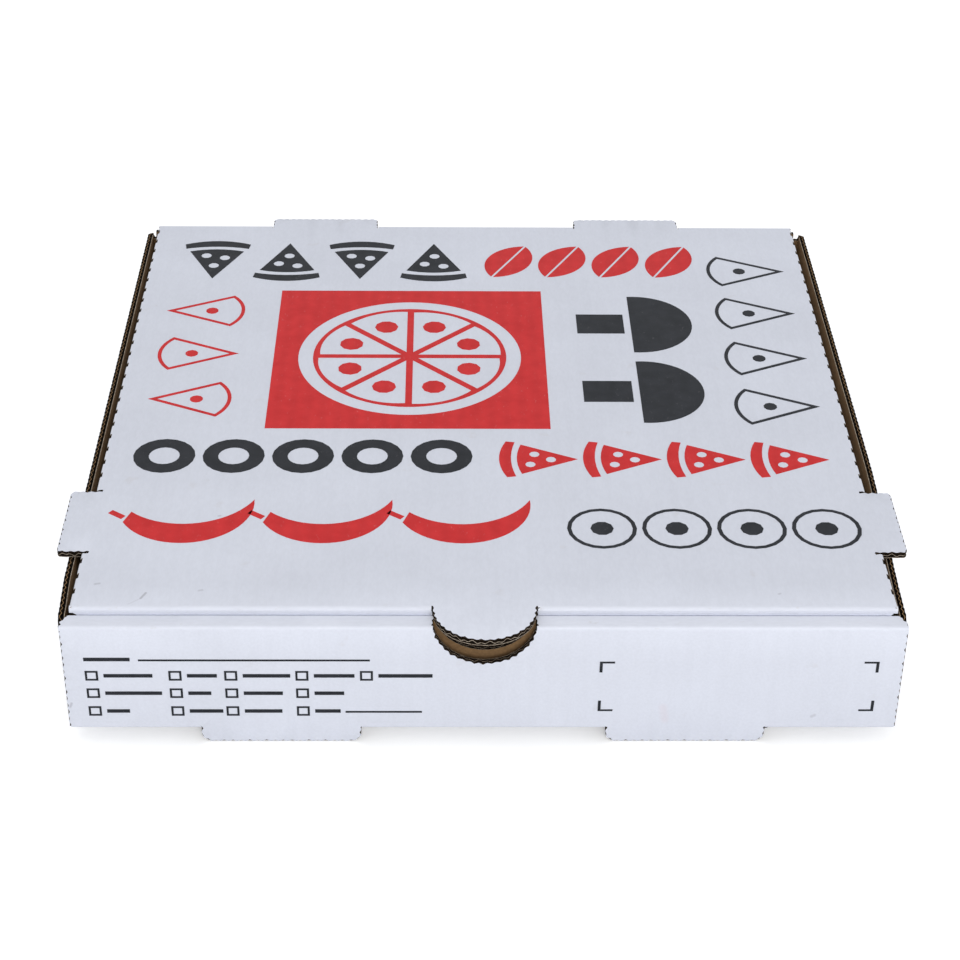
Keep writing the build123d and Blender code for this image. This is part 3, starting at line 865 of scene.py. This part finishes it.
def make_tray():
    sheet = Sheet()
    bottom_panel(sheet)
    bottom_folds(sheet)
    front_wall(sheet)
    band(sheet)
    inner_wall(sheet)
    back_wall(sheet)
    piece = sheet.build("tray_board")
    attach(piece, "tray")
    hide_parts("tray")
    for hand, name in ((-1, "side_wall_left"), (1, "side_wall_right")):
        sheet = Sheet()
        side_strip(sheet, hand)
        piece = sheet.build(name)
        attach(piece, "tray")


# Lid
def lid_panel(sheet):
    side = LID_HALF - SIDE_FOLD
    near = LID_FRONT + FRONT_FOLD
    tab_near, tab_far = SIDE_TAB
    root = LID_HALF - SIDE_TAB_ROOT
    corner = SIDE_TAB_CORNER
    moon = arc(0, LID_FRONT, CIRCLE, 180, 360)
    corners = [(-side, near, "fold"), (-CIRCLE, near, "cut"), *moon, (CIRCLE, near, "fold")]
    right = [
        (side, near, "fold"),
        (side, tab_near - SLIT, "cut"),
        (root, tab_near - SLIT, "cut"),
        (root, tab_near, "cut"),
        *rounded(SIDE_TAB_REACH - corner, tab_near + corner, corner, 270),
        *rounded(SIDE_TAB_REACH - corner, tab_far - corner, corner, 0),
        (root, tab_far, "cut"),
        (root, tab_far + SLIT, "cut"),
        (side, tab_far + SLIT, "fold"),
        (side, HINGE_EDGE, "fold"),
    ]
    rear = []
    corner = REAR_TAB_CORNER
    for low, high in (REAR_TAB, (-REAR_TAB[1], -REAR_TAB[0])):
        rear.append((high, HINGE_EDGE, "cut"))
        rear += rounded(high - corner, REAR_TAB_REACH - corner, corner, 0)
        rear += rounded(low + corner, REAR_TAB_REACH - corner, corner, 90)
        rear.append((low, HINGE_EDGE, "fold"))
    left = [(-u, v) for u, v, _ in reversed(right)]
    kinds = [kind for _, _, kind in reversed(right)]
    left = [(u, v, kinds[(k + 1) % len(kinds)]) for k, (u, v) in enumerate(left)]
    corners += right + rear + left[:-1]
    panel(sheet, corners, lambda u, v, w: (u, v, LID_BOTTOM + w))


def lid_front_flap(sheet):
    """Front tuck flap, hung from the fold and cut out round the half-moon."""
    half = LID_HALF - FRONT_FLAP_INSET
    low = half - FRONT_FLAP_TAPER
    radius = CIRCLE + MOON_GAP
    reach = sqrt(radius ** 2 - FRONT_FOLD ** 2)
    dip = 360 - atan2(FRONT_FOLD, reach) * 180 / pi
    hole = arc(0, 0, radius, dip, 360 - dip + 180)
    top = LID_HALF - SIDE_FOLD
    corners = [(top, -FRONT_FOLD, "fold"), *hole[:-1], (*hole[-1][:2], "fold")]
    corners += [(-top, -FRONT_FOLD, "cut"), (-half, -FRONT_FLAP_SHOULDER, "cut")]
    corners += [(-low, -FRONT_FLAP_LENGTH, "cut"), (low, -FRONT_FLAP_LENGTH, "cut")]
    corners.append((half, -FRONT_FLAP_SHOULDER, "cut"))
    tilt = FRONT_FLAP_TILT

    def place(u, v, w):
        y, z = BOARD - w, v
        return (u, LID_FRONT + y * cos(tilt) - z * sin(tilt), LID_TOP + y * sin(tilt) + z * cos(tilt))

    panel(sheet, corners, place)
    near, top = LID_FRONT + FRONT_FOLD, LID_TOP - FRONT_FOLD
    tails = (0.7, 0)
    beside_moon = CIRCLE + 0.5
    for start, stop in ((-LID_HALF, -beside_moon), (beside_moon, LID_HALF)):
        bend(sheet, lambda a, b, run: (run, near - a, top + b), start, stop, FRONT_FOLD, tails)


def lid_side_flap(sheet, hand):
    near, far = LID_FRONT + SIDE_FLAP_FRONT, BACK - SIDE_FLAP_BACK
    low = LID_BOTTOM - SIDE_FLAP_LENGTH
    top = LID_TOP - SIDE_FOLD
    gap = LID_TOP - SIDE_FLAP_GAP
    corners = [
        (near, top, "cut"),
        (near + SIDE_FLAP_TAPER, low, "cut"),
        (far - SIDE_FLAP_TAPER, low, "cut"),
        (far, top, "fold"),
        (SIDE_TAB[1], top, "cut"),
        (SIDE_TAB[1], gap, "cut"),
        (SIDE_TAB[0], gap, "cut"),
        (SIDE_TAB[0], top, "fold"),
    ]
    panel(sheet, corners, lambda u, v, w: (hand * (LID_HALF - BOARD + w), u, v), flute=1)


def side_fold(sheet, hand):
    """Perforated score along a lid side: short cuts leave gaps in the fold."""
    side, top = LID_HALF - SIDE_FOLD, LID_TOP - SIDE_FOLD
    tails = (0.4, 0)
    steps = 4

    def place(a, b, run):
        return (hand * (side + a), run, top + b)

    before_tab = (LID_FRONT + 0.6, SIDE_TAB[0] - SLIT)
    behind_tab = (SIDE_TAB[1] + SLIT, BACK - BOARD)
    for start, stop in (before_tab, behind_tab):
        cuts = int((stop - start) / NICK_PITCH)
        edges = [start]
        for k in range(cuts):
            nick = stop - (k + 0.5) * NICK_PITCH
            edges += [nick + NICK_LENGTH / 2, nick - NICK_LENGTH / 2]
        edges = sorted(edges + [stop])
        for low, high in zip(edges[::2], edges[1::2]):
            bend(sheet, place, low, high, SIDE_FOLD, tails, steps)


def make_lid():
    sheet = Sheet()
    lid_panel(sheet)
    lid_front_flap(sheet)
    for hand in (-1, 1):
        lid_side_flap(sheet, hand)
        side_fold(sheet, hand)
    piece = sheet.build("lid_board")
    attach(piece, "lid")
    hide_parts("lid")


def make_hinge():
    """Outer liner over the hinge fold."""
    sheet = Sheet()
    centre_y, centre_z = BACK - FOLD, LID_TOP - FOLD
    tails = (HINGE_TAIL, HINGE_TAIL)
    steps = 10
    inner, outer = REAR_NOTCH

    def place(a, b, run):
        return (run, centre_y + a, centre_z + b)

    for start, stop in ((-LID_HALF, -outer), (-inner, inner), (outer, LID_HALF)):
        bend(sheet, place, start, stop, FOLD, tails, steps)
    piece = sheet.build("hinge_fold")
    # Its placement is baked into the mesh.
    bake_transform(piece)


def paint_prints():
    red = ink("red_flexo", (0.53, 0.020, 0.022), (0.60, 0.028, 0.030), 0.12)
    charcoal = ink("charcoal_flexo", (0.013, 0.015, 0.019), (0.022, 0.024, 0.030), 0.06)
    for name, paint in (("lid_print_red", red), ("lid_print_charcoal", charcoal), ("front_print", charcoal)):
        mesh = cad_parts[name].data
        mesh.materials.clear()
        mesh.materials.append(paint)


# Floor, light and camera
def floor_material():
    """White floor that shows the shadow; the camera sees it a little brighter."""
    grey = 0.86
    camera_glow = 0.34
    material = bpy.data.materials.new("floor_white")
    material.use_nodes = True
    tree = material.node_tree
    tree.nodes.clear()
    diffuse = tree.nodes.new("ShaderNodeBsdfDiffuse")
    diffuse.inputs["Color"].default_value = (grey, grey, grey, 1)
    glow = tree.nodes.new("ShaderNodeEmission")
    glow.inputs["Color"].default_value = (1, 1, 1, 1)
    path = tree.nodes.new("ShaderNodeLightPath")
    seen = tree.nodes.new("ShaderNodeMath")
    seen.operation = "MULTIPLY"
    seen.inputs[1].default_value = camera_glow
    add = tree.nodes.new("ShaderNodeAddShader")
    output = tree.nodes.new("ShaderNodeOutputMaterial")
    tree.links.new(path.outputs["Is Camera Ray"], seen.inputs[0])
    tree.links.new(seen.outputs["Value"], glow.inputs["Strength"])
    tree.links.new(diffuse.outputs["BSDF"], add.inputs[0])
    tree.links.new(glow.outputs["Emission"], add.inputs[1])
    tree.links.new(add.outputs["Shader"], output.inputs["Surface"])
    return material


def make_floor():
    """The box stands on its two front tabs and its rear fold, so the floor is tilted under it."""
    slope = TAB_DROP / (BACK - FOLD - (FRONT + BOARD))
    half, near, far = 6, -3.0, 9.0
    points = []
    for x, y in ((-half, near), (half, near), (half, far), (-half, far)):
        points.append((x, y, -TAB_DROP / 1000 + slope * (y - (FRONT + BOARD) / 1000)))
    mesh = bpy.data.meshes.new("floor")
    mesh.from_pydata(points, [], [(0, 1, 2, 3)])
    mesh.materials.append(floor_material())
    floor = bpy.data.objects.new("floor", mesh)
    bpy.context.scene.collection.objects.link(floor)


def make_world():
    """White behind the box and in its reflections, and softer light on it."""
    world = bpy.data.worlds.new("studio")
    world.use_nodes = True
    tree = world.node_tree
    background = tree.nodes["Background"]
    background.inputs["Color"].default_value = (0.98, 0.99, 1.0, 1)
    path = tree.nodes.new("ShaderNodeLightPath")
    seen = tree.nodes.new("ShaderNodeMath")
    seen.operation = "MAXIMUM"
    tree.links.new(path.outputs["Is Camera Ray"], seen.inputs[0])
    tree.links.new(path.outputs["Is Glossy Ray"], seen.inputs[1])
    through = tree.nodes.new("ShaderNodeMath")
    through.operation = "MAXIMUM"
    tree.links.new(seen.outputs["Value"], through.inputs[0])
    tree.links.new(path.outputs["Is Transmission Ray"], through.inputs[1])
    strength = tree.nodes.new("ShaderNodeMapRange")
    strength.inputs["To Min"].default_value = 0.70
    strength.inputs["To Max"].default_value = 1.0
    tree.links.new(through.outputs["Value"], strength.inputs["Value"])
    tree.links.new(strength.outputs["Result"], background.inputs["Strength"])
    bpy.context.scene.world = world


def area_light(name, place, target, size, power):
    """Square lamp at place that faces target; metres and watts."""
    data = bpy.data.lights.new(name, "AREA")
    data.size = size
    data.energy = power
    lamp = bpy.data.objects.new(name, data)
    lamp.location = place
    direction = Vector(target) - Vector(place)
    lamp.rotation_euler = direction.to_track_quat("-Z", "Y").to_euler()
    bpy.context.scene.collection.objects.link(lamp)


def make_lights():
    make_world()
    area_light("front_softbox", (0.35, -2.2, 1.0), (0, 0, 0), 1.4, 26)
    area_light("top_softbox", (-0.6, 0.5, 2.4), (0, 0, 0), 1.6, 10)


def make_camera():
    """Camera fitted to the corners of the box in the photograph."""
    place = (-0.01508, -0.79716, 0.53524)
    pitch, yaw, roll = radians(33.509), radians(1.1256), radians(0.7278)
    forward = Vector((sin(yaw) * cos(pitch), cos(yaw) * cos(pitch), -sin(pitch)))
    right = Vector((cos(yaw), -sin(yaw), 0))
    up = right.cross(forward)
    turned = right * cos(roll) + up * sin(roll)
    raised = up * cos(roll) - right * sin(roll)
    data = bpy.data.cameras.new("camera")
    data.lens = 82.767
    data.sensor_width = 36.0
    data.clip_start = 0.05
    data.clip_end = 40
    camera = bpy.data.objects.new("camera", data)
    axes = Matrix((turned, raised, -forward)).transposed()
    camera.matrix_world = Matrix.Translation(place) @ axes.to_4x4()
    bpy.context.scene.collection.objects.link(camera)
    bpy.context.scene.camera = camera


make_tray()
make_lid()
make_hinge()
paint_prints()
make_floor()
make_lights()
make_camera()
bpy.context.scene.view_settings.view_transform = "Standard"
